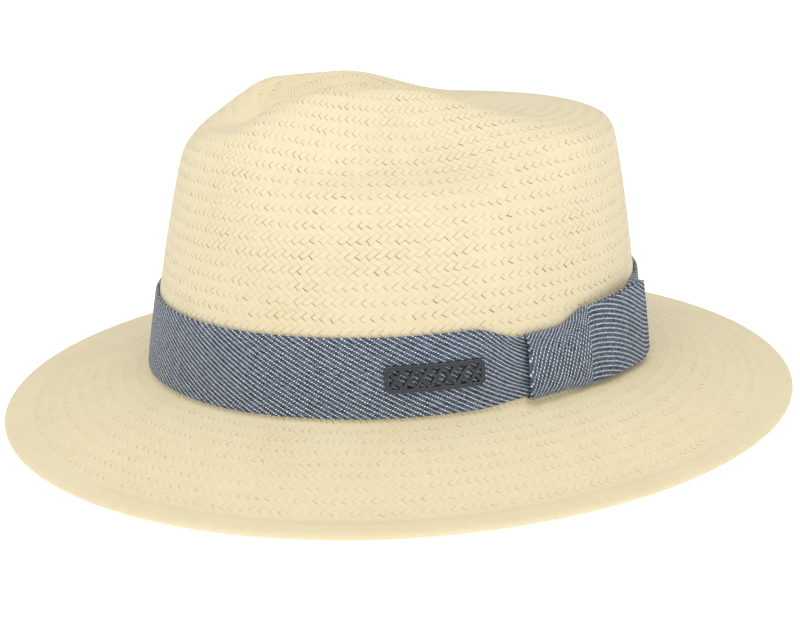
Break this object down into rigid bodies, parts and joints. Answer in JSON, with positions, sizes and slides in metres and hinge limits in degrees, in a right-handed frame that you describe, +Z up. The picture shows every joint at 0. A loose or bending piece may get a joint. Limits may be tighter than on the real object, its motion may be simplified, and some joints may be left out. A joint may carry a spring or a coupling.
{
  "type": "fedora hat",
  "caption": "Woven straw fedora with a pinched teardrop crown, a level brim, a twill band with a side bow and a pierced metal badge.",
  "frame": {"origin": "centre of the brim edge, in the plane the brim stands on", "axes": "+Z up, the hat's front faces -Y, the wearer's left side (bow and badge) is +X"},
  "size_m": [0.284, 0.329, 0.1261],
  "materials": {
    "straw": "matt woven paper straw",
    "denim": "matt cotton twill",
    "gunmetal": "dark polished",
    "sweat_cotton": "matt cotton",
    "label_cloth": "woven label",
    "thread": "sewing thread",
    "blue_thread": "sewing thread",
    "spring_steel": "drawn wire",
    "plastic": "extruded"
  },
  "bodies": {
    "root": {"straw_body": "straw", "brim_wire": "spring_steel", "wire_sleeve": "spring_steel", "hat_band": "denim", "bow_knot": "denim", "bow_wing": "denim", "badge": "gunmetal", "sweatband": "sweat_cotton", "sweatband_reed": "plastic", "sweatband_stitching": "thread", "rear_bow": "sweat_cotton", "size_label": "label_cloth", "band_tack_front": "blue_thread", "band_tack_right": "blue_thread", "band_tack_back": "blue_thread"}
  },
  "joints": []
}
